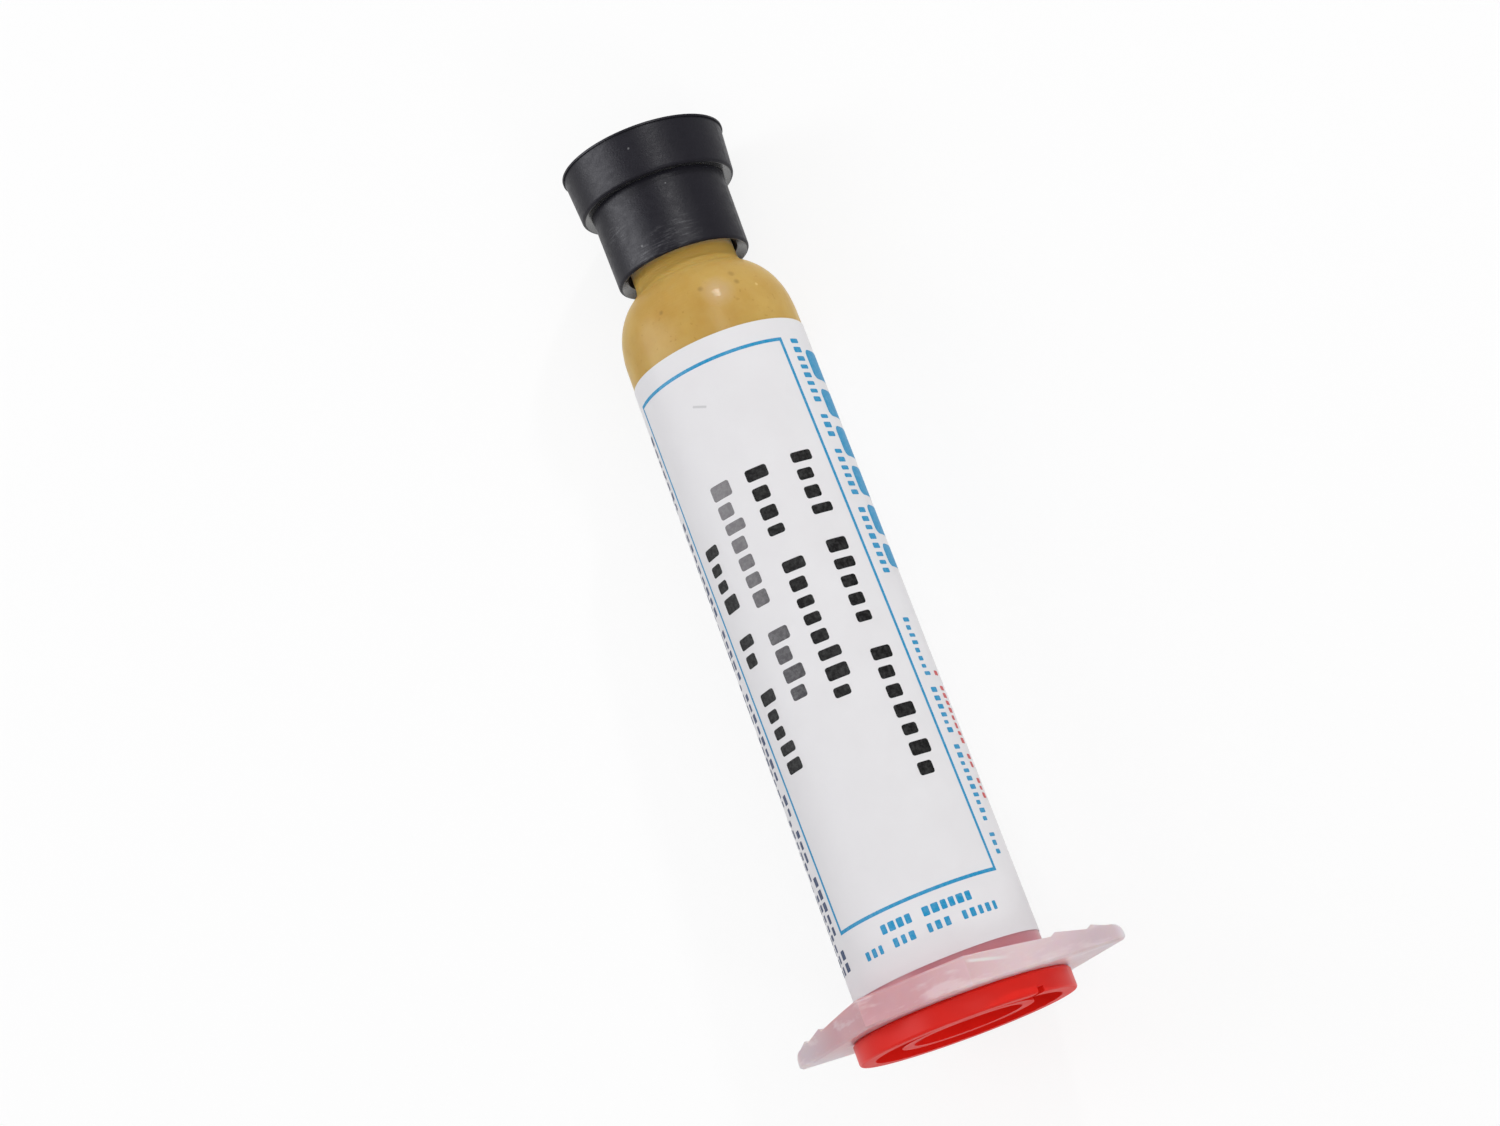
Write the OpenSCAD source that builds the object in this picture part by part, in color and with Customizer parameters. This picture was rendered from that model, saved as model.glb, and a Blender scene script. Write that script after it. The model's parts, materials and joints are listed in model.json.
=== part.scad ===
// Flux syringe: a filled dispensing barrel with its label, piston, tip cap and end cap.
// Each piece is built round the Z axis with the tip up and Z = 0 on the flange's rear face.
// The long way of the flange is X. lie() then lays the syringe on its side, as it rests on a bench.

/* [Barrel] */
// Inner diameter of the tube
bore_d = 15.9; // [14:0.1:17]
// Outer diameter of the tube where the shoulder begins
tube_tip_d = 17.8; // [17.4:0.1:20]
// Outer diameter of the tube at the flange
tube_flange_d = 18.7; // [18:0.1:20.6]
// Length from the flange's rear face to the shoulder
tube_len = 69; // [66:0.5:90]
// Radius of the flat that the shoulder's curve would end in on the axis
shoulder_flat = 0.7; // [0.3:0.1:0.9]
// Squareness of the shoulder's curve, 2 is a circle
shoulder_power = 2.4; // [2:0.1:3]
// Outer diameter of the neck and its luer-lock collar
neck_d = 10.6; // [9.6:0.1:11.4]
// Height of the neck and collar above the shoulder
neck_h = 8.8; // [8.4:0.1:9.8]
// Concave radius where the neck leaves the shoulder
neck_fillet = 2; // [0.6:0.1:2.2]

/* [Luer tip] */
// Diameter of the luer cone at its end
luer_d = 4; // [3.9:0.05:4.2]
// Diameter that the luer cone gains for each millimetre down from its end
luer_taper = 0.06; // [0.04:0.01:0.08]
// How far the luer cone stands out of the collar
luer_out = 2.1; // [1:0.1:2.5]
// Diameter of the channel through the luer cone
channel_d = 2.4; // [2:0.1:2.8]
// Inner diameter of the luer-lock collar
lock_d = 8; // [7.8:0.1:8.4]
// Depth of the luer-lock collar
lock_depth = 7; // [5:0.1:7.5]

/* [Flange] */
// Length of the flange from ear to ear
flange_len = 34.4; // [31:0.1:40]
// Width of the flange across its two flats
flange_w = 24.6; // [22:0.1:28]
// Length of each flat
flat_len = 11; // [8:0.1:14]
// Thickness of the flange at the tube
hub_t = 2.85; // [2.2:0.05:3.5]
// Thickness that an ear loses for each millimetre outwards
ear_fall = 0.105; // [0.05:0.005:0.12]
// Radius that rounds the end of an ear, seen from the side
ear_round = 1.1; // [0.6:0.1:1.2]
// Distance from an ear's end to the foot of its outer grip ridge
ridge_inset = 2.5; // [2:0.1:3.5]
// Distance from one grip ridge to the next
ridge_pitch = 2.7; // [2:0.1:3.2]
// Height of a grip ridge
ridge_h = 0.34; // [0.2:0.02:0.5]
// Bevel round the flange's edges
flange_bevel = 0.22; // [0.1:0.02:0.4]

/* [Label] */
// Thickness of the label
label_t = 0.1; // [0.06:0.02:0.2]
// Distance from the flange to the label
label_rear_gap = 0.85; // [0.5:0.05:6]
// Distance from the label to the shoulder
label_front_gap = 1.5; // [0.5:0.1:12]
// Angle by which the label was wound on askew
label_skew = 1.66; // [0:0.02:3]
// Turn of the label's front from the middle of a flange flat
label_turn = 17.5; // [0:0.5:90]

/* [Fill and piston] */
// Length of tube that the paste fills
fill_len = 50; // [20:0.5:51]
// Height of the piston's straight part
piston_h = 6; // [5:0.1:7]
// Height of each wiping lip
wiper_h = 1.1; // [0.6:0.1:1.6]
// Depth of the waist between the lips
waist_depth = 0.6; // [0.3:0.05:0.9]
// Wall of the piston's skirt at the waist
piston_wall = 1.4; // [1.1:0.1:2]
// Height of the dished roof in the piston's hollow
roof_rise = 3.4; // [2:0.1:4]

/* [Tip cap] */
// Diameter of the skirt at its mouth
skirt_mouth_d = 13.65; // [13:0.05:14.4]
// Diameter of the skirt under the head
skirt_top_d = 13.9; // [13.4:0.05:14.6]
// Height of the skirt
skirt_h = 7.9; // [7.7:0.05:8.6]
// Diameter of the head at its underside
head_low_d = 16; // [15.4:0.05:17]
// Diameter of the head below its lip
head_top_d = 16.65; // [16:0.05:17.4]
// Height of the head
head_h = 4.95; // [4.7:0.05:6]
// How far the thin lip stands out round the head's top
lip_out = 0.15; // [0.05:0.01:0.3]
// Height of the thin lip
lip_h = 0.2; // [0.15:0.05:0.5]
// Depth to which the head's underside is dished
ledge_dish = 0.1; // [0.05:0.05:0.6]
// Depth to which the end face of the skirt is dished
mouth_dish = 0.6; // [0.1:0.05:0.9]
// How far the socket widens at its mouth
mouth_flare = 0.4; // [0.1:0.05:0.7]
// Length of neck that shows between the shoulder and the cap
neck_show = 1.4; // [1.1:0.05:1.6]
// Depth of the seal that reaches into the collar
seal_depth = 3.6; // [2:0.1:4.8]
// Outer diameter of the seal
seal_d = 6.6; // [6:0.1:6.8]
// Room above the luer cone inside the cap
tip_room = 0.4; // [0.2:0.1:0.8]
// Rounding of the outer edges of the cap and the collar
edge_round = 0.3; // [0.1:0.05:0.4]

/* [End cap] */
// Diameter of the disc
disc_d = 21.75; // [21:0.05:22]
// Thickness of the disc
disc_t = 2.2; // [1.8:0.05:3]
// Depth of the recess in the disc's rear
recess_depth = 1.2; // [0.8:0.05:1.5]
// Width of the rim round the recess
rim_w = 1.55; // [1:0.05:2]
// Outer diameter of the ring inside the recess
ring_d = 13.2; // [12:0.1:14]
// Width of that ring
ring_w = 1.2; // [0.8:0.1:2]
// Distance from the ring's edge down to the rim's face
ring_drop = 0.25; // [0:0.05:0.4]
// Width of the vent notch in the rim
notch_w = 0.8; // [0.4:0.1:1.4]
// Turn of the vent notch from the label's front
notch_turn = 42; // [0:1:90]
// Length of the plug in the bore
plug_len = 8; // [5:0.1:9]
// Wall of the plug
plug_wall = 1.3; // [1:0.1:2]
// Thickness of the web that closes the plug
web_t = 1.2; // [0.8:0.1:1.6]

/* [Fits] */
// Clearance of the piston, plug, paste and cap from what they sit in
run_gap = 0.05; // [0.02:0.01:0.08]
// Clearance between two faces that rest on each other
seat_gap = 0.02; // [0.01:0.01:0.05]

/* [Hidden] */
$fn = 96;
arc_steps = 20;
cut = 1;
bore_r = bore_d / 2;
tube_tip_r = tube_tip_d / 2;
tube_flange_r = tube_flange_d / 2;
neck_r = neck_d / 2;
channel_r = channel_d / 2;
// The shoulder and the bore's end are quarters of superellipses of these half-sizes
shoulder_h = tube_tip_r - shoulder_flat;
bore_end_h = bore_r - shoulder_flat;
neck_foot = tube_len + curve_z(shoulder_h, neck_r - shoulder_flat);
collar_top = neck_foot + neck_h;
luer_top = collar_top + luer_out;
lock_floor = collar_top - lock_depth;
// Outline of the flange: two flats, and an ear at each end of the long way
flange_x = flange_len / 2;
flange_y = flange_w / 2;
flat_x = flat_len / 2;
ear_side = norm([flange_x - flat_x, flange_y]);
ear_apothem = flange_x * flange_y / ear_side;
ear_turn = atan2(flange_y, flange_x - flat_x);
// Places along the axis
label_low = hub_t + label_rear_gap;
label_high = tube_len - label_front_gap;
piston_z = tube_len - fill_len;
piston_r = bore_r - run_gap;
nose_h = bore_end_h - run_gap;
cap_mouth = neck_foot + neck_show;
head_z = cap_mouth + skirt_h;
cap_top = head_z + head_h;
lip_r = head_top_d / 2 + lip_out;
// At rest the syringe lies on one flat of the flange and on the lip of the tip cap
foot_z = hub_t - flange_bevel;
rest_tilt = atan2(flange_y - lip_r, cap_top - foot_z);
rest_h = flange_y * cos(rest_tilt) + foot_z * sin(rest_tilt);
rear_y = -disc_t * cos(rest_tilt) - disc_d / 2 * sin(rest_tilt);
front_y = cap_top * cos(rest_tilt) + lip_r * sin(rest_tilt);

// Outer radius of the tube at height z
function tube_r(z) = tube_flange_r + (tube_tip_r - tube_flange_r) * z / tube_len;
// Radius of the luer cone at height z
function luer_r(z) = luer_d / 2 + luer_taper / 2 * (luer_top - z);
// Height of a superellipse of half-size h at distance x from its middle
function curve_z(h, x) = h * pow(1 - pow(x / h, shoulder_power), 1 / shoulder_power);
// Points up a curved shoulder of half-size h that starts at height z and ends at radius r_end
function shoulder(z, h, r_end) = [
    for (i = [0 : arc_steps])
        let (x = h - (h - r_end + shoulder_flat) * (1 - cos(90 * i / arc_steps)))
        [shoulder_flat + x, z + curve_z(h, x)]
];
// Points of an arc about c from angle a0 to a1, the first of them left out if it is there already
function arc(c, r, a0, a1, steps = 4, first = 0) = [
    for (i = [first : steps])
        let (a = a0 + (a1 - a0) * i / steps)
        c + r * [cos(a), sin(a)]
];
function backwards(points) = [for (i = [len(points) - 1 : -1 : 0]) points[i]];

module lie() {
    translate([0, -(rear_y + front_y) / 2, rest_h])
        rotate([-90 - rest_tilt, 0, 0])
        children();
}

// A bar of the flange's thickness with bevelled edges and its sides at distance apothem from the axis
module bevelled_bar(turn, apothem) {
    b = flange_bevel;
    rotate([0, 0, turn])
        rotate([90, 0, 90])
        linear_extrude(2 * flange_len, center = true)
        polygon([
            [b - apothem, 0],
            [apothem - b, 0],
            [apothem, b],
            [apothem, hub_t - b],
            [apothem - b, hub_t],
            [b - apothem, hub_t],
            [-apothem, hub_t - b],
            [-apothem, b]
        ]);
}

// Half of the flange seen from a flat side: it thins outwards, and its front carries grip ridges
module ear_profile() {
    function ear_t(x) = hub_t - ear_fall * (x - flat_x);
    ridge_rise = 0.35;
    round_r = min(ear_round, ear_t(flange_x) - 2 * flange_bevel);
    round_x = flange_x - round_r;
    polygon(concat(
        [[0, 0], [flange_x - flange_bevel, 0], [flange_x, flange_bevel]],
        arc([round_x, ear_t(round_x) - round_r], round_r, 0, 90),
        [[flat_x, hub_t], [0, hub_t]]
    ));
    for (i = [0, 1]) {
        x = flange_x - ridge_inset - i * ridge_pitch;
        x_end = min(x + ridge_pitch, round_x);
        polygon([
            [x, ear_t(x) - ridge_h],
            [x, ear_t(x)],
            [x + ridge_rise, ear_t(x + ridge_rise) + ridge_h],
            [x_end, ear_t(x_end)],
            [x_end, ear_t(x_end) - ridge_h]
        ]);
    }
}

module flange() {
    intersection() {
        bevelled_bar(0, flange_y);
        bevelled_bar(ear_turn, ear_apothem);
        bevelled_bar(-ear_turn, ear_apothem);
        rotate([90, 0, 0])
            linear_extrude(2 * flange_len, center = true) {
                ear_profile();
                mirror([1, 0]) ear_profile();
            }
    }
}

// The tube, shoulder, neck and collar, still solid
module tube_blank() {
    foot_slope = atan(pow((neck_r - shoulder_flat) / (neck_foot - tube_len), shoulder_power - 1));
    fillet_r = neck_r + neck_fillet * (1 - sin(foot_slope));
    fillet_z = tube_len + curve_z(shoulder_h, fillet_r - shoulder_flat) + neck_fillet * cos(foot_slope);
    rotate_extrude()
        polygon(concat(
            [[0, 0], [tube_flange_r, 0]],
            shoulder(tube_len, shoulder_h, fillet_r),
            arc([neck_r + neck_fillet, fillet_z], neck_fillet, 270 - foot_slope, 180, 8, 1),
            arc([neck_r - edge_round, collar_top - edge_round], edge_round, 0, 90),
            [[0, collar_top]]
        ));
}

module luer_cone() {
    z = lock_floor - cut;
    translate([0, 0, z])
        cylinder(r1 = luer_r(z), r2 = luer_r(luer_top), h = luer_top - z);
}

module barrel() {
    color([0.88, 0.84, 0.78, 0.6])
    difference() {
        union() {
            tube_blank();
            flange();
            luer_cone();
        }
        rotate_extrude()
            polygon(concat(
                [[0, -cut], [bore_r, -cut]],
                shoulder(tube_len, bore_end_h, channel_r),
                [[channel_r, luer_top + cut], [0, luer_top + cut]]
            ));
        // Room for a needle's hub between the luer cone and the collar
        difference() {
            translate([0, 0, lock_floor]) cylinder(d = lock_d, h = lock_depth + cut);
            luer_cone();
        }
    }
}

// The label is a thin wrap whose two ends are cut askew
module label() {
    spare = tube_flange_r * tan(label_skew) + cut;
    low = label_low - spare;
    high = label_high + spare;
    color("whitesmoke")
    intersection() {
        rotate_extrude()
            polygon([
                [tube_r(low) + seat_gap, low],
                [tube_r(low) + label_t, low],
                [tube_r(high) + label_t, high],
                [tube_r(high) + seat_gap, high]
            ]);
        translate([0, 0, (label_low + label_high) / 2])
            rotate([0, -label_skew, label_turn])
            cube([3 * tube_flange_d, 3 * tube_flange_d, (label_high - label_low) * cos(label_skew)], center = true);
    }
}

// The paste fills the tube from the piston's nose into the luer cone
module flux_paste() {
    paste_end = luer_top - tip_room;
    color("goldenrod")
    rotate_extrude()
        polygon(concat(
            [[0, piston_z + run_gap + nose_h]],
            backwards(shoulder(piston_z + run_gap, nose_h, shoulder_flat)),
            shoulder(tube_len, nose_h, channel_r - run_gap),
            [[channel_r - run_gap, paste_end], [0, paste_end]]
        ));
}

// A hollow piston with two wiping lips, whose nose fits the bore's end
module piston() {
    rear = piston_z - piston_h;
    waist_r = piston_r - waist_depth;
    hollow_r = waist_r - piston_wall;
    color("white")
    rotate_extrude()
        polygon(concat(
            [[0, piston_z + nose_h]],
            backwards(shoulder(piston_z, nose_h, shoulder_flat)),
            [
                [piston_r, piston_z - wiper_h],
                [waist_r, piston_z - wiper_h - waist_depth / 2],
                [waist_r, rear + wiper_h + waist_depth / 2],
                [piston_r, rear + wiper_h],
                [piston_r, rear],
                [hollow_r, rear],
                [hollow_r, piston_z],
                [hollow_r / 2, piston_z + roof_rise],
                [0, piston_z + roof_rise]
            ]
        ));
}

// A push-on cap: a skirt over the collar, a wider head, and a seal round the luer cone
module tip_cap() {
    mouth_r = skirt_mouth_d / 2;
    low_r = head_low_d / 2;
    socket_r = neck_r + run_gap;
    hole_top = luer_top + tip_room;
    seal_low = collar_top - seal_depth;
    e = edge_round;
    color("#26262a")
    rotate_extrude()
        polygon(concat(
            [
                [socket_r, cap_mouth + mouth_dish + 2 * mouth_flare],
                [socket_r + mouth_flare, cap_mouth + mouth_dish]
            ],
            arc([mouth_r - e, cap_mouth + e], e, -90, 0),
            [[skirt_top_d / 2, head_z + ledge_dish]],
            arc([low_r - e, head_z + e], e, -90, 0),
            [
                [head_top_d / 2, cap_top - lip_h],
                [lip_r, cap_top - lip_h],
                [lip_r, cap_top],
                [0, cap_top],
                [0, hole_top],
                [luer_r(hole_top) + run_gap, hole_top],
                [luer_r(seal_low) + run_gap, seal_low],
                [seal_d / 2, seal_low],
                [seal_d / 2, hole_top + tip_room],
                [socket_r, hole_top + tip_room]
            ]
        ));
}

// A stopper: a disc on the flange's rear, recessed and ringed behind, and a hollow plug in the bore
module end_cap() {
    disc_r = disc_d / 2;
    ring_r = ring_d / 2;
    plug_r = bore_r - run_gap;
    floor_z = recess_depth - disc_t;
    bevel = 0.25;
    color("#d8261c")
    difference() {
        rotate_extrude()
            polygon(concat(
                [
                    [0, floor_z],
                    [ring_r - ring_w, floor_z],
                    [ring_r - ring_w, ring_drop - disc_t],
                    [ring_r, ring_drop - disc_t],
                    [ring_r, floor_z],
                    [disc_r - rim_w, floor_z],
                    [disc_r - rim_w, -disc_t]
                ],
                arc([disc_r - bevel, bevel - disc_t], bevel, -90, 0),
                [
                    [disc_r, -seat_gap - bevel],
                    [disc_r - bevel, -seat_gap],
                    [plug_r, -seat_gap],
                    [plug_r, plug_len - bevel],
                    [plug_r - bevel, plug_len],
                    [plug_r - plug_wall, plug_len],
                    [plug_r - plug_wall, floor_z + web_t],
                    [0, floor_z + web_t]
                ]
            ));
        // Vent notch across the rim
        rotate([0, 0, label_turn + notch_turn])
            translate([-notch_w / 2, -disc_r - cut, -disc_t - cut])
            cube([notch_w, rim_w + 1.5 * cut, recess_depth / 2 + cut]);
    }
}

lie() barrel();
lie() label();
lie() flux_paste();
lie() piston();
lie() tip_cap();
lie() end_cap();
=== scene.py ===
"""Flux syringe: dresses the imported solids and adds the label, its print, the paste and the thread.

Lengths are millimetres in the syringe's own frame: Z runs to the tip and is 0 on the flange's
rear face, and -Y is the label's front before it is turned. LIE takes a point from there to the
row frame, in metres. Names with _R are radii.
"""

import json
import math
import random

import bpy
from mathutils import Matrix, Vector


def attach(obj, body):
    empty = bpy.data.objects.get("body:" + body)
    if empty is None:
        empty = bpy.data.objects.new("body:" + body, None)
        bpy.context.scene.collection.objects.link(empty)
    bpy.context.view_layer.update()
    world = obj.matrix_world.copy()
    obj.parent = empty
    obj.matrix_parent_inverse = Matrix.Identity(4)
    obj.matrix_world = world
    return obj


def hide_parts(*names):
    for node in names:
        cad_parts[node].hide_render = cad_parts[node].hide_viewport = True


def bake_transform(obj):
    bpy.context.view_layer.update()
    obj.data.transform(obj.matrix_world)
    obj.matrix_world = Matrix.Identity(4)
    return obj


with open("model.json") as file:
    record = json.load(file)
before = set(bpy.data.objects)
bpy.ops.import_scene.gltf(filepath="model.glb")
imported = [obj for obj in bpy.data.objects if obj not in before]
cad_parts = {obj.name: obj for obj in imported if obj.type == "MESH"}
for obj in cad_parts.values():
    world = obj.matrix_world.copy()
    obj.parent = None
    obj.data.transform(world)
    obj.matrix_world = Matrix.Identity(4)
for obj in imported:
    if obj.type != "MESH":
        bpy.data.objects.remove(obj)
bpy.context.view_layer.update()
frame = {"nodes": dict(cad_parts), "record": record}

# ---------------------------------------------------------------- sizes from the part's source

MM = 0.001
BORE_R = 7.95
TUBE_TIP_R = 8.9
TUBE_FLANGE_R = 9.35
TUBE_LEN = 69.0
POWER = 2.4
FLAT = 0.7
BORE_END_H = BORE_R - FLAT
CHANNEL_R = 1.2
COLLAR_TOP = 85.075
LUER_TOP = 87.175
PISTON_Z = 19.0
LABEL_LOW = 3.7
LABEL_HIGH = 67.5
LABEL_MIDDLE = (LABEL_LOW + LABEL_HIGH) / 2
LABEL_SKEW = math.radians(1.66)
LABEL_TURN = math.radians(17.5)

# ---------------------------------------------------------------- sizes of the scene's own pieces

PISTON_GAP = 0.05  # between the piston's nose and the paste
WALL_GAP = 0.02  # between the barrel and the paste
TIP_GAP = 0.4  # from the end of the luer cone back to the paste
PASTE_RIM = 0.2  # from the piston's seat to where the paste meets the bore
SHEET = 0.06  # the label sheet's outer face, above the tube
SHEET_T = 0.035
LAP = 3.0 / 9.2  # the turn that 3 mm of lap takes, in radians
LAP_RAMP = 0.13  # the turn in which the lap rises, in radians
LAP_RISE = 0.038
CUT_SKEW = math.tan(LABEL_SKEW) * 9.3  # how far the label's ends depart from square, each way
PRINT_LIFT = 0.008  # the print, above the sheet
FLOOR_HALF = 3.0  # metres

# The axis is the opposite of the rear opening's, whose place is the middle of the rear face.
opening = next(m for m in frame["record"]["mounts"] if m["name"] == "rear_opening")
AXIS = -Vector(opening["axis"]).normalized()
TILT = Matrix(((1, 0, 0), (0, AXIS.z, AXIS.y), (0, -AXIS.y, AXIS.z))).to_4x4()
LIE = Matrix.Translation(Vector(opening["pos_m"])) @ TILT @ Matrix.Scale(MM, 4)


def tube_r(s):
    """The tube's outer radius at a height."""
    return TUBE_FLANGE_R + (TUBE_TIP_R - TUBE_FLANGE_R) * s / TUBE_LEN


def dome(h, start, end_r):
    """Points (radius, height) up a superellipse of half-size h, from height start to end_r."""
    steps = 28
    points = []
    for i in range(steps + 1):
        x = h - (h - end_r + FLAT) * (1 - math.cos(math.pi / 2 * i / steps))
        points.append((FLAT + x, start + h * max(0, 1 - (x / h) ** POWER) ** (1 / POWER)))
    return points


# ---------------------------------------------------------------- mesh helpers


def piece(name, verts, faces, material, body="barrel"):
    """A mesh object from points in the syringe's own frame. With no body it stays free to bend."""
    mesh = bpy.data.meshes.new(name)
    mesh.from_pydata([LIE @ Vector(v) for v in verts], [], faces)
    mesh.validate()
    mesh.polygons.foreach_set("use_smooth", [True] * len(mesh.polygons))
    mesh.materials.append(material)
    mesh.update()
    obj = bpy.data.objects.new(name, mesh)
    bpy.context.collection.objects.link(obj)
    if body:
        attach(obj, body)
    return obj


def sharp(obj):
    """Smooth faces with hard edges where they meet at more than 35 degrees."""
    obj.data.set_sharp_from_angle(angle=math.radians(35))
    return obj


def lathe(name, profile, material, body):
    """A closed solid of revolution whose profile starts and ends on the axis."""
    segments = 128
    ring = profile[1:-1]
    verts = []
    for r, s in ring:
        for k in range(segments):
            a = 2 * math.pi * k / segments
            verts.append((r * math.cos(a), r * math.sin(a), s))
    last = (len(ring) - 1) * segments
    hub = len(verts)
    verts += [(0, 0, profile[0][1]), (0, 0, profile[-1][1])]
    faces = []
    for k in range(segments):
        n = (k + 1) % segments
        faces.append((hub, n, k))
        faces.append((hub + 1, last + k, last + n))
        for j in range(len(ring) - 1):
            a = j * segments
            faces.append((a + k, a + n, a + segments + n, a + segments + k))
    return sharp(piece(name, verts, faces, material, body))


# ---------------------------------------------------------------- materials


class Nodes:
    """A short way to build a node tree."""

    def __init__(self, name, kind="Material"):
        self.mat = (bpy.data.worlds if kind == "World" else bpy.data.materials).new(name)
        self.mat.use_nodes = True
        self.tree = self.mat.node_tree
        self.tree.nodes.clear()
        self.out = self.tree.nodes.new("ShaderNodeOutput" + kind)

    def add(self, kind, inputs=None, **settings):
        """A node whose inputs are each linked to a socket or set to a value."""
        node = self.tree.nodes.new("ShaderNode" + kind)
        for key, value in settings.items():
            setattr(node, key, value)
        for key, value in (inputs or {}).items():
            if isinstance(value, bpy.types.NodeSocket):
                self.tree.links.new(value, node.inputs[key])
            else:
                node.inputs[key].default_value = value
        return node

    def place(self):
        """Millimetres along the tube (Z) and across it (X, Y), from the object's own frame."""
        mapping = self.add("Mapping", {"Vector": self.add("TexCoord").outputs["Object"]})
        where, turned, scale = LIE.inverted().decompose()
        mapping.inputs["Location"].default_value = where
        mapping.inputs["Rotation"].default_value = turned.to_euler()
        mapping.inputs["Scale"].default_value = scale
        return mapping.outputs["Vector"]

    def noise(self, at, scale, detail, rough=0.55, stretch=None):
        """Noise that is coarser along an axis where stretch is below 1."""
        if stretch:
            at = self.add("Mapping", {"Vector": at, "Scale": stretch}).outputs["Vector"]
        looks = {"Scale": scale, "Detail": detail, "Roughness": rough}
        return self.add("TexNoise", {"Vector": at, **looks}).outputs["Fac"]

    def ramp(self, fac, low, dark, high, light):
        """From dark at low to light at high."""
        node = self.add("ValToRGB", {"Fac": fac})
        ends = node.color_ramp.elements
        ends[0].position, ends[0].color = low, (*dark, 1)
        ends[1].position, ends[1].color = high, (*light, 1)
        return node.outputs["Color"]

    def span(self, value, low, high, to_low=0.0, to_high=1.0):
        """From to_low where value is low to to_high where it is high, and level beyond."""
        ends = {"From Min": low, "From Max": high, "To Min": to_low, "To Max": to_high}
        return self.add("MapRange", {"Value": value, **ends}).outputs["Result"]

    def band(self, value, low, full, end, high):
        """1 while value is between full and end, fading to 0 at low and at high."""
        return self.times(self.span(value, low, full), self.span(value, end, high, 1.0, 0.0))

    def mix(self, fac, a, b):
        """From colour a where fac is 0 to colour b where it is 1."""
        node = self.add("Mix", data_type="RGBA")
        for socket, value in ((node.inputs[0], fac), (node.inputs[6], a), (node.inputs[7], b)):
            if isinstance(value, bpy.types.NodeSocket):
                self.tree.links.new(value, socket)
            elif isinstance(value, (int, float)):
                socket.default_value = value
            else:
                socket.default_value = (*value, 1)
        return node.outputs[2]

    def tint(self, colour, mask, share, other):
        """The colour, with a share of the other one where the mask is 1."""
        return self.mix(self.times(mask, share), colour, other)

    def math(self, op, a, b=0.0):
        return self.add("Math", {0: a, 1: b}, operation=op).outputs[0]

    def times(self, a, b):
        return self.math("MULTIPLY", a, b)

    def off_axis(self, at):
        """How far a place is from the tube's axis."""
        flat = self.add("VectorMath", {0: at, 1: (1, 1, 0)}, operation="MULTIPLY")
        return self.add("VectorMath", {0: flat.outputs[0]}, operation="LENGTH").outputs["Value"]

    def bump(self, height, strength, depth):
        """A normal for a surface whose height varies by up to depth."""
        node = self.add("Bump", {"Height": height, "Strength": strength, "Distance": depth * MM})
        return node.outputs["Normal"]

    def seen(self):
        """1 for the camera's rays, mirrored rays and those let through, and 0 for the rest."""
        path = self.add("LightPath").outputs
        bent = self.math("MAXIMUM", path["Is Glossy Ray"], path["Is Transmission Ray"])
        return self.math("MAXIMUM", path["Is Camera Ray"], bent)

    def surface(self, shader):
        self.tree.links.new(shader, self.out.inputs["Surface"])

    def finish(self, inputs):
        self.surface(self.add("BsdfPrincipled", inputs).outputs[0])
        return self.mat


def srgb(r, g, b):
    """A screen colour, 0 to 255, as the linear one that the nodes take."""
    shares = (c / 255 for c in (r, g, b))
    return tuple(c / 12.92 if c <= 0.04 else ((c + 0.055) / 1.055) ** 2.4 for c in shares)


# Marks left by wear and air, and a glossy spot that also carries a painted highlight halo: (degrees
# round from the label's front, height, radius, size)
DARK_SPECKS = (
    (29.4, 72.2, 8.7, 0.42),
    (29.0, 73.3, 8.4, 0.5),
    (4.2, 72.4, 8.6, 0.4),
    (-25.6, 71.7, 8.7, 0.3),
)
PALE_SPECKS = ((-19.0, 76.9, 5.3, 0.16), (43.0, 71.6, 8.8, 0.25))
# A smoother spot on the shoulder, where the amber is also painted paler as a highlight halo.
GLOSSY_SPOT_AND_HALO = (14.6, 71.7, 8.66, 1.9)
SCUFFS = (
    (8, 79.2, 6.85, 2.2),
    (-10, 79.0, 6.85, 1.9),
    (-27, 78.5, 6.85, 1.7),
    (-50, 82, 6.9, 1.8),
)
NICKS = ((-8, 88.6, 8.25, 0.14), (9, 84.4, 6.95, 0.1), (-28, 79.4, 6.88, 0.14))
SMUDGE = [(-26.0 + 0.8 * k, 61.55 - 0.055 * k, 9.01, 0.17) for k in range(10)]


def spots(n, at, marks):
    """1 on the cores of round marks, fading to 0 at their edges."""
    total = None
    for turn, height, radius, size in marks:
        a = math.radians(turn) + LABEL_TURN
        point = (radius * math.sin(a), -radius * math.cos(a), height)
        away = n.add("VectorMath", {0: at, 1: point}, operation="DISTANCE").outputs["Value"]
        core = size * 0.35
        mark = n.span(away, core, size, 1.0, 0.0)
        total = mark if total is None else n.math("MAXIMUM", total, mark)
    return total


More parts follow.
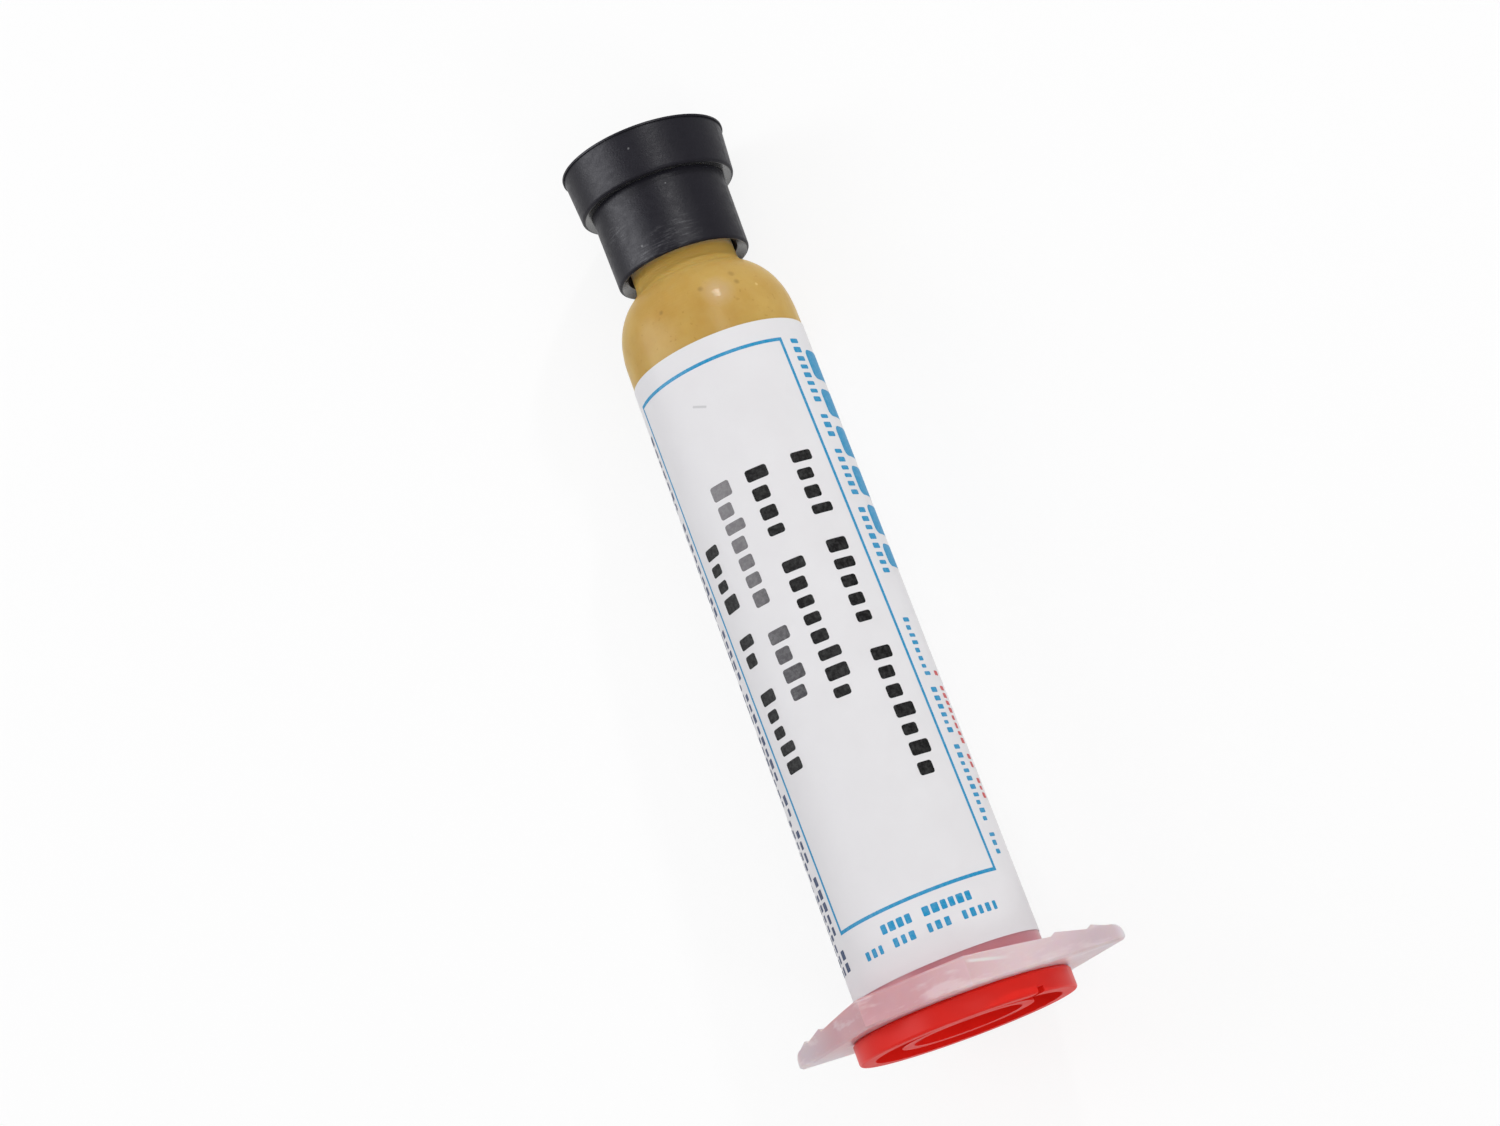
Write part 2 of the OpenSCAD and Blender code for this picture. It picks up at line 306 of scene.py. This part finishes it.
def barrel_material():
    """Milky polypropylene, amber where paste lies behind it. At the flange it is pink, partly from
    the red cap behind and partly painted reflection, with painted highlight streaks, a painted
    highlight line and painted glints at the ears' tips; the neck is painted lighter and the shoulder
    has a painted highlight halo.
    """
    n = Nodes("polypropylene")
    at = n.place()
    side, _, along = n.add("SeparateXYZ", {0: at}).outputs
    out = n.math("ABSOLUTE", side)

    # Pink at the flange: partly the red cap seen through the wall, partly painted reflection, which
    # is painted paler towards +X.
    bare = n.mix(n.noise(at, 0.3, 3), srgb(216, 164, 171), srgb(232, 189, 195))
    bare = n.mix(n.span(side, 0, 9), bare, srgb(244, 224, 228))
    bare = n.mix(n.span(out, 10, 15), bare, srgb(226, 209, 215))
    # Whitish streaks across the flange: painted highlight streaks.
    sheen_streak = n.span(n.noise(at, 0.45, 3, 0.6, stretch=(0.5, 0.5, 2.0)), 0.52, 0.66)
    bare = n.tint(bare, sheen_streak, 0.5, srgb(255, 244, 246))
    # A painted glint, whitening the ears' tips.
    ear_tip_glint = n.span(out, 16.6, 17.2)
    bare = n.tint(bare, ear_tip_glint, 0.7, srgb(255, 250, 252))
    # the light that the flange's front edge catches, beside the tube
    slant = n.math("ADD", along, n.times(n.math("SUBTRACT", side, 5.7), 0.25))
    line = n.times(n.band(slant, 2.04, 2.2, 2.32, 2.5), n.band(side, 5.5, 5.9, 7.4, 8.9))
    bare = n.mix(line, bare, srgb(255, 252, 253))
    tube_foot = n.band(along, 2.7, 3.0, 6, 9)
    bare = n.mix(tube_foot, bare, srgb(222, 146, 156))
    bare = n.mix(n.span(along, 20, 30), bare, srgb(238, 234, 228))

    cloud = n.noise(at, 0.16, 4, 0.6)
    amber = n.ramp(cloud, 0.35, srgb(186, 149, 77), 0.65, srgb(197, 164, 93))
    fleck = n.span(n.noise(at, 2.2, 2, 0.5), 0.66, 0.74)
    amber = n.tint(amber, fleck, 0.3, srgb(150, 110, 50))
    amber = n.tint(amber, spots(n, at, DARK_SPECKS), 0.4, srgb(96, 70, 40))
    amber = n.tint(amber, spots(n, at, PALE_SPECKS), 0.7, srgb(232, 210, 150))
    # The neck is painted a lighter, flat amber: the paste's colour, lightened against the cap's
    # shade.
    neck_painted_lighter = n.span(along, 75.4, 77.2)
    amber = n.mix(neck_painted_lighter, amber, srgb(199, 163, 84))
    # Smoother there, and the amber painted paler: a painted highlight halo round the lamp's spot.
    glossy_spot_and_halo = spots(n, at, (GLOSSY_SPOT_AND_HALO,))
    amber = n.tint(amber, glossy_spot_and_halo, 0.8, srgb(198, 168, 122))

    wet = n.band(along, 60, 64, 77.8, 79.8)
    rough = n.span(n.noise(at, 1.2, 2), 0.3, 0.7, 0.29, 0.36)
    flow = n.noise(at, 0.9, 2, stretch=(1, 1, 0.25))
    return n.finish(
        {
            "Base Color": n.mix(wet, bare, amber),
            "Roughness": n.mix(glossy_spot_and_halo, rough, (0.21, 0.21, 0.21)),
            "IOR": 1.49,
            "Specular IOR Level": n.span(wet, 0, 1, 0.15, 0.06),
            "Transmission Weight": n.span(wet, 0.0, 0.5, 0.35, 0.0),
            "Subsurface Weight": 0.7,
            "Subsurface Radius": (1.0, 0.7, 0.45),
            "Subsurface Scale": 1.0 * MM,
            "Normal": n.bump(flow, 0.3, 0.1),
        }
    )


def flux_material():
    """Amber paste, swirled and a little translucent."""
    n = Nodes("flux")
    at = n.place()
    swirl = n.noise(at, 0.22, 4, stretch=(1, 1, 0.5))
    colour = n.ramp(swirl, 0.3, srgb(176, 124, 48), 0.7, srgb(196, 150, 66))
    return n.finish(
        {
            "Base Color": colour,
            "Roughness": 0.35,
            "Subsurface Weight": 0.5,
            "Subsurface Radius": (1.0, 0.6, 0.2),
            "Subsurface Scale": 1.5 * MM,
            "Normal": n.bump(n.noise(at, 0.6, 3), 0.2, 0.1),
        }
    )


def rubber_material():
    """Black rubber with scuffs, and paler grey on the two faces that are turned towards the flange:
    dust and painted reflection.
    """
    n = Nodes("rubber")
    at = n.place()
    along = n.add("SeparateXYZ", {0: at}).outputs["Z"]
    out = n.off_axis(at)
    mouth = n.times(n.span(out, 6.5, 6.6, 1.0, 0.0), n.span(along, 78.25, 78.35, 1.0, 0.0))
    ledge = n.times(n.band(out, 6.96, 7.05, 7.65, 7.75), n.span(along, 86.0, 86.1, 1.0, 0.0))
    rear_face = n.math("MAXIMUM", mouth, ledge)

    colour = n.mix(n.noise(at, 0.35, 3), srgb(21, 20, 27), srgb(30, 29, 36))
    sheen_streak = n.noise(at, 1.4, 4, 0.7, stretch=(1, 1, 0.5))
    # Paler grey on the two faces towards the flange: dust, and painted reflection of their grazing
    # sheen.
    dust_and_sheen = n.mix(n.span(sheen_streak, 0.35, 0.65), srgb(30, 30, 32), srgb(62, 62, 62))
    colour = n.mix(rear_face, colour, dust_and_sheen)
    lines = n.span(n.noise(at, 1.0, 4, 0.7, stretch=(0.7, 0.7, 6.0)), 0.5, 0.66)
    scuffed = n.times(spots(n, at, SCUFFS), lines)
    colour = n.tint(colour, scuffed, 0.35, srgb(112, 112, 116))
    colour = n.tint(colour, spots(n, at, NICKS), 0.6, srgb(150, 150, 152))

    mottle = n.noise(at, 1.1, 4, 0.65, stretch=(1, 1, 1.6))
    satin = n.span(mottle, 0.35, 0.65, 0.34, 0.46)
    return n.finish(
        {
            "Base Color": colour,
            "Roughness": n.mix(rear_face, satin, (0.22, 0.22, 0.22)),
            "Specular IOR Level": n.span(rear_face, 0, 1, 0.1, 1.0),
            "Normal": n.bump(n.noise(at, 4.0, 4), 0.3, 0.06),
        }
    )


def paper_material():
    """White label paper with a grey smudge beside the shoulder."""
    n = Nodes("label_paper")
    at = n.place()
    cloud = n.noise(at, 0.18, 3)
    colour = n.mix(cloud, srgb(220, 218, 220), srgb(228, 227, 229))
    colour = n.tint(colour, spots(n, at, SMUDGE), 0.35, srgb(130, 130, 134))
    return n.finish(
        {
            "Base Color": colour,
            "Roughness": n.span(cloud, 0.3, 0.7, 0.45, 0.55),
            "Specular IOR Level": 0.06,
            "Normal": n.bump(n.noise(at, 3.0, 5, 0.65), 0.15, 0.03),
        }
    )


def ink_material(name, colour, faded=None, worn_by=0.12):
    """Ink that is a little worn, and faded towards the tip where a second colour is given."""
    n = Nodes(name)
    at = n.place()
    if faded:
        along = n.add("SeparateXYZ", {0: at}).outputs["Z"]
        colour = n.mix(n.span(along, 32, 52), colour, faded)
    worn = n.span(n.noise(at, 2.5, 4, 0.7), 0.4, 0.8)
    colour = n.tint(colour, worn, worn_by, srgb(235, 235, 235))
    return n.finish({"Base Color": colour, "Roughness": 0.45, "Specular IOR Level": 0.1})


def red_material():
    """Red polyethylene, with more sheen on the disc's edge than on its face."""
    n = Nodes("end_cap_red")
    at = n.place()
    along = n.add("SeparateXYZ", {0: at}).outputs["Z"]
    side = n.math("MAXIMUM", n.span(along, -0.9, -0.8), n.span(n.off_axis(at), 10.7, 10.8))
    cloud = n.noise(at, 0.3, 3)
    return n.finish(
        {
            "Base Color": n.mix(cloud, srgb(214, 30, 22), srgb(226, 42, 33)),
            "Roughness": n.span(cloud, 0.3, 0.7, 0.3, 0.4),
            "Specular IOR Level": n.span(side, 0, 1, 0.01, 0.12),
            "Subsurface Weight": 0.25,
            "Subsurface Radius": (1.0, 0.25, 0.15),
            "Subsurface Scale": 0.8 * MM,
            "Normal": n.bump(n.noise(at, 0.8, 2), 0.15, 0.06),
        }
    )


def piston_material():
    """White polyethylene."""
    n = Nodes("piston_polyethylene")
    at = n.place()
    cloud = n.noise(at, 0.4, 3)
    return n.finish(
        {
            "Base Color": n.mix(cloud, srgb(236, 235, 230), srgb(244, 244, 240)),
            "Roughness": 0.45,
            "Normal": n.bump(n.noise(at, 1.5, 3), 0.15, 0.05),
        }
    )


def set_material(node, material):
    """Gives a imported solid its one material."""
    obj = frame["nodes"][node]
    obj.data.materials.clear()
    obj.data.materials.append(material)


PP = barrel_material()
FLUX = flux_material()
PAPER = paper_material()
INK_BLACK = ink_material("ink_black", srgb(8, 7, 8), worn_by=0.05)
INK_GREY = ink_material("ink_grey", srgb(58, 56, 60), srgb(112, 109, 112))
INK_BLUE = ink_material("ink_blue", srgb(24, 140, 188))
INK_NAVY = ink_material("ink_navy", srgb(44, 62, 98))
INK_RED = ink_material("ink_red", srgb(196, 70, 72))

set_material("barrel", PP)
set_material("tip_cap", rubber_material())
set_material("end_cap", red_material())
set_material("piston", piston_material())

# ---------------------------------------------------------------- label


def on_label(p, q):
    """A point of the print, p from the label's middle to the flange and q round to the right."""
    z = LABEL_MIDDLE - p * math.cos(LABEL_SKEW) + q * math.sin(LABEL_SKEW)
    r = tube_r(z) + SHEET
    a = (p * math.sin(LABEL_SKEW) + q * math.cos(LABEL_SKEW)) / r + LABEL_TURN
    r += PRINT_LIFT
    return (r * math.sin(a), -r * math.cos(a), z)


def label():
    """A sheet wound once round the tube, cut askew at both ends, whose end laps over its start."""
    half = (LABEL_HIGH - LABEL_LOW) / 2
    cols, rows = 240, 12
    verts = []
    for back in (0, SHEET_T):
        for i in range(cols + 1):
            turn = -math.pi + (2 * math.pi + LAP) * i / cols
            over = min(1, max(0, 1 + (turn - math.pi) / LAP_RAMP))
            lift = SHEET + LAP_RISE * over * over * (3 - 2 * over) - back
            skew = CUT_SKEW * math.sin(turn)
            a = turn + LABEL_TURN
            for j in range(rows + 1):
                s = LABEL_MIDDLE - half * (2 * j / rows - 1) + skew
                r = tube_r(s) + lift
                verts.append((r * math.sin(a), -r * math.cos(a), s))
    w = rows + 1
    top = (cols + 1) * w
    faces = []
    for i in range(cols):
        for j in range(rows):
            a = i * w + j
            faces.append((a, a + 1, a + w + 1, a + w))
            faces.append((top + a, top + a + w, top + a + w + 1, top + a + 1))
    for i in range(cols):
        for j in (0, rows):
            a = i * w + j
            quad = (a, a + w, top + a + w, top + a)
            faces.append(quad if j == 0 else quad[::-1])
    for j in range(rows):
        for i in (0, cols):
            a = i * w + j
            quad = (a, top + a, top + a + 1, a + 1)
            faces.append(quad if i == 0 else quad[::-1])
    obj = sharp(piece("label_sheet", verts, faces, PAPER))
    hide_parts("label")


label()

# ---------------------------------------------------------------- print

M = 31.9  # from the label's middle to its edge at the tip
CORNER_STEPS = 4
BAR_ROW = 0.35  # the most between two rows of a bar's points
BAR_COL = 5  # the most between two columns of them
MARK_WIDTHS = (0.8, 1.2)
WORD_SPACE = 1.1  # a space between words, in the same unit as a mark's width
LOW_MARK = 0.74  # a low mark's height, in heights of a tall one
MARK_CORNER = 0.12  # a mark's corner radius, in heights of a tall one
BORDER = (2.1 - M, 57.7 - M, -10.8, 7.85)
BORDER_LINE = 0.35
SMALL_PRINT = ([7, 9, 5, 8, 2, 3, 5, 2], [5, 6, 11, 4, 7, 6, 8], [9, 4, 3, 8, 7, 5, 9])


class Print:
    """Rounded bars on the label, gathered into one mesh."""

    def __init__(self):
        self.verts = []
        self.faces = []

    def bar(self, p0, p1, q0, q1, corner):
        """A bar from p0 to p1 and q0 to q1 whose four corners have the given radius."""
        r = min(corner, (p1 - p0) / 2, (q1 - q0) / 2)
        bend = []
        if r > 0:
            steps = range(1, CORNER_STEPS + 1)
            bend = [r * (1 - math.cos(math.pi / 2 * k / CORNER_STEPS)) for k in steps]
        low = [q0] + [q0 + d for d in bend]
        high = [q1 - d for d in reversed(bend)] + [q1]
        room = high[0] - low[-1]
        rows = max(1, math.ceil(room / BAR_ROW))
        levels = low + [low[-1] + room * k / rows for k in range(1, rows)] + high
        cols = max(1, math.ceil((p1 - p0) / BAR_COL))
        start = len(self.verts)
        for q in levels:
            d = min(q - q0, q1 - q)
            inset = r - math.sqrt(max(0, r * r - (r - d) ** 2)) if d < r else 0
            for k in range(cols + 1):
                self.verts.append(on_label(p0 + inset + (p1 - p0 - 2 * inset) * k / cols, q))
        for j in range(len(levels) - 1):
            for k in range(cols):
                a = start + j * (cols + 1) + k
                self.faces.append((a, a + 1, a + cols + 2, a + cols + 1))

    def row(self, start, end, q, height, words, seed, gap=0.42, across=False, tall=0.45):
        """A line of block-like marks between two places, with a space after each word.

        A word's first mark is tall, and so is a share of the others. The marks are gap apart on
        a line 20 mm long. A line across runs round the tube.
        """
        rng = random.Random(seed)
        marks = []
        for w, count in enumerate(words):
            for k in range(count):
                high = k == 0 or rng.random() < tall
                marks.append((rng.uniform(*MARK_WIDTHS), high))
            if w < len(words) - 1:
                marks.append((WORD_SPACE, None))
        gaps = gap * (end - start) / 20
        unit = (end - start - gaps * (len(marks) - 1)) / sum(width for width, _ in marks)
        at = start
        for width, high in marks:
            width *= unit
            if high is not None:
                box = (at, at + width, q, q + height * (1 if high else LOW_MARK))
                if across:
                    box = (box[2], box[3], -box[1], -box[0])
                self.bar(*box, height * MARK_CORNER)
            at += width + gaps

    def done(self, name, material):
        piece(name, self.verts, self.faces, material)


def prints():
    """Plain bars where the label is printed, and a thin frame. There is no letter among them."""
    black = Print()
    black.row(13.8 - M, 47.3 - M, 3.6, 2.2, [4, 5, 7], seed=3)
    black.row(13.9 - M, 37.7 - M, -1.15, 2.2, [4, 8], gap=0.6, seed=5)
    black.row(18.7 - M, 42.1 - M, -9.0, 2.1, [4, 2, 5], gap=0.55, seed=8)
    black.done("print_black", INK_BLACK)
    grey = Print()
    grey.row(13.8 - M, 36.2 - M, -5.1, 2.2, [7, 4], gap=0.5, seed=6)
    grey.done("print_grey", INK_GREY)
    blue = Print()
    p0, p1, q0, q1 = BORDER
    blue.bar(p0, p1, q1 - BORDER_LINE, q1, 0)
    blue.bar(p0, p1, q0, q0 + BORDER_LINE, 0)
    blue.bar(p0, p0 + BORDER_LINE, q0 + BORDER_LINE, q1 - BORDER_LINE, 0)
    blue.bar(p1 - BORDER_LINE, p1, q0 + BORDER_LINE, q1 - BORDER_LINE, 0)
    blue.row(2.3 - M, 27.3 - M, 9.0, 1.2, [8, 3, 6, 8], gap=0.32, seed=11, tall=1)
    blue.row(32.0 - M, 56.2 - M, 9.05, 1.1, [8, 6, 10, 3], gap=0.3, seed=12)
    blue.row(-3.7, 5.55, 58.75 - M, 0.9, [6, 4], gap=0.5, across=True, seed=13, tall=1)
    blue.row(-6.0, 8.3, 60.35 - M, 0.85, [5, 3, 3, 3], gap=0.5, across=True, seed=14, tall=1)
    blue.row(3.4 - M, 26.6 - M, 10.8, 5.6, [6], gap=0.9, seed=15, tall=1)
    blue.done("print_blue", INK_BLUE)
    navy = Print()
    for k, words in enumerate(SMALL_PRINT):
        navy.row(5.0 - M, 61.0 - M, -12.4 - 1.35 * k, 0.9, words, seed=20 + k, gap=0.12, tall=0.3)
    navy.done("print_navy", INK_NAVY)
    red = Print()
    red.row(37.5 - M, 50.6 - M, 11.2, 1.1, [1, 8, 2, 3], seed=30)
    red.done("print_red", INK_RED)


prints()

# ---------------------------------------------------------------- paste


def paste():
    """One body of paste from the piston's nose to the tip. Its rear face moves with the piston.

    No point of it lies between the blend's start and end, so each point follows one body.
    """
    nose = dome(BORE_END_H - PISTON_GAP, PISTON_Z + PISTON_GAP, FLAT)
    shoulder = dome(BORE_END_H - WALL_GAP, TUBE_LEN, CHANNEL_R - WALL_GAP)
    summit = nose[-1][1]
    front = LUER_TOP - TIP_GAP
    profile = [(0, summit)] + nose[::-1] + [(BORE_R - WALL_GAP, PISTON_Z + PASTE_RIM)] + shoulder
    profile += [(CHANNEL_R - WALL_GAP, front), (0, front)]
    obj = lathe("flux", profile, FLUX, body=None)
    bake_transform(obj)
    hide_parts("flux_paste")


paste()

# ---------------------------------------------------------------- luer thread


def thread():
    """Two starts of right-handed thread inside the collar, which taper off at their ends."""
    lead, turns = 5.0, 1.2
    root_r, crest_r = 4.06, 3.64
    section = ((root_r, -0.55), (crest_r, -0.2), (crest_r, 0.2), (root_r, 0.55))
    top = COLLAR_TOP - 0.75
    taper = 12  # it grows and shrinks over a twelfth of its length
    least = 0.04
    steps = 120
    n = len(section)
    verts = []
    faces = []
    for start in (0, 1):
        first = len(verts)
        for i in range(steps + 1):
            f = i / steps
            a = start * math.pi + 2 * math.pi * turns * f
            s = top - lead * turns * (1 - f)
            grow = max(least, min(1, f * taper, (1 - f) * taper))
            for r, dz in section:
                r = root_r + (r - root_r) * grow
                verts.append((r * math.cos(a), r * math.sin(a), s + dz))
        for i in range(steps):
            for j in range(n):
                a = first + i * n + j
                b = first + i * n + (j + 1) % n
                faces.append((a, a + n, b + n, b))
        faces.append(tuple(first + j for j in range(n)))
        faces.append(tuple(first + steps * n + j for j in reversed(range(n))))
    sharp(piece("luer_thread", verts, faces, PP))


thread()

# ---------------------------------------------------------------- stage, light and camera


def stage():
    """A floor that keeps the shadows and a world, both white to the rays that see them."""
    n = Nodes("floor")
    at = n.add("TexCoord").outputs["Object"]
    grain = n.add("TexNoise", {"Vector": at, "Scale": 60.0}).outputs["Fac"]
    colour = n.mix(grain, (0.86, 0.86, 0.86), (0.88, 0.88, 0.88))
    matt = n.add("BsdfPrincipled", {"Base Color": colour, "Roughness": 0.9}).outputs[0]
    glow = n.add("Emission", {"Color": (1, 1, 1, 1), "Strength": 1.0}).outputs[0]
    share = n.times(n.seen(), 0.84)
    n.surface(n.add("MixShader", {0: share, 1: matt, 2: glow}).outputs[0])
    mesh = bpy.data.meshes.new("floor")
    low, high = -FLOOR_HALF, FLOOR_HALF
    corners = [(low, low, 0), (high, low, 0), (high, high, 0), (low, high, 0)]
    mesh.from_pydata(corners, [], [(0, 1, 2, 3)])
    mesh.materials.append(n.mat)
    obj = bpy.data.objects.new("floor", mesh)
    bpy.context.collection.objects.link(obj)

    n = Nodes("studio", "World")
    level = n.span(n.seen(), 0, 1, 0.5, 1.0)
    n.surface(n.add("Background", {"Color": (1, 1, 1, 1), "Strength": level}).outputs[0])
    bpy.context.scene.world = n.mat


def softbox(name, direction, distance, size, watts, colour=(1, 1, 1), diffuse=True, glossy=True):
    """A lamp with its distance and size in metres, aimed at the syringe from a direction.

    Without diffuse it only shows in mirrored rays, and without glossy it doesn't show in them.
    """
    light = bpy.data.lights.new(name, "AREA")
    light.shape = "RECTANGLE"
    light.size, light.size_y = size
    light.energy = watts
    light.color = colour
    obj = bpy.data.objects.new(name, light)
    aim = Vector((0, 0.01, 0.01))
    d = Vector(direction).normalized()
    obj.location = aim + d * distance
    obj.rotation_euler = d.to_track_quat("Z", "Y").to_euler()
    obj.visible_diffuse = obj.visible_transmission = diffuse
    obj.visible_glossy = glossy
    bpy.context.collection.objects.link(obj)


def lights():
    """Four lamps for the light, and three that reach mirrored rays only, for the sheen."""
    cool = (0.96, 0.97, 1.0)
    key = (0.575, 0.67, 0.47)
    softbox("key", key, 0.6, (0.035, 0.035), 1.0)
    softbox("left", (-0.78, 0.27, 0.56), 0.55, (0.2, 0.4), 0.82, cool, glossy=False)
    softbox("front", (0.45, -0.75, 0.6), 0.6, (0.12, 0.12), 0.35)
    softbox("top", (0.35, -0.2, 1.0), 0.8, (0.6, 0.6), 1.6, glossy=False)
    softbox("key_sheen", key, 0.59, (0.035, 0.035), 0.8, diffuse=False)
    softbox("left_sheen", (-0.7, 0.37, 0.6), 0.55, (0.24, 0.5), 4.7, cool, diffuse=False)
    softbox("top_sheen", (0.54, 0.38, 0.75), 0.7, (0.14, 0.14), 2.0, diffuse=False)


# The photo's camera, fitted to the outlines. Its place and axes are in the label's turned frame.
CAMERA_AT = (-4.10, -315.39, -30.63)
CAMERA_RIGHT = (0.93745, 0.08339, -0.33798)
CAMERA_DOWN = (-0.34811, 0.22457, -0.91016)
CAMERA_FORWARD = (0, 0.97088, 0.23955)
FOCAL = 3342  # in the photo's pixels
PHOTO_WIDTH = 1500
SENSOR = 36


def camera():
    turn = Matrix.Rotation(LABEL_TURN, 4, "Z")
    place = LIE @ turn @ Vector(CAMERA_AT)
    lay = (LIE @ turn).to_3x3() * (1 / MM)
    right = lay @ Vector(CAMERA_RIGHT)
    down = lay @ Vector(CAMERA_DOWN)
    forward = lay @ Vector(CAMERA_FORWARD)
    data = bpy.data.cameras.new("camera")
    data.sensor_width = SENSOR
    data.lens = SENSOR * FOCAL / PHOTO_WIDTH
    data.clip_start = 0.01
    data.clip_end = 20
    obj = bpy.data.objects.new("camera", data)
    turned = Matrix((right, -down, -forward)).transposed().to_4x4()
    obj.matrix_world = Matrix.Translation(place) @ turned
    bpy.context.collection.objects.link(obj)
    bpy.context.scene.camera = obj


stage()
lights()
camera()
bpy.context.scene.view_settings.view_transform = "Standard"
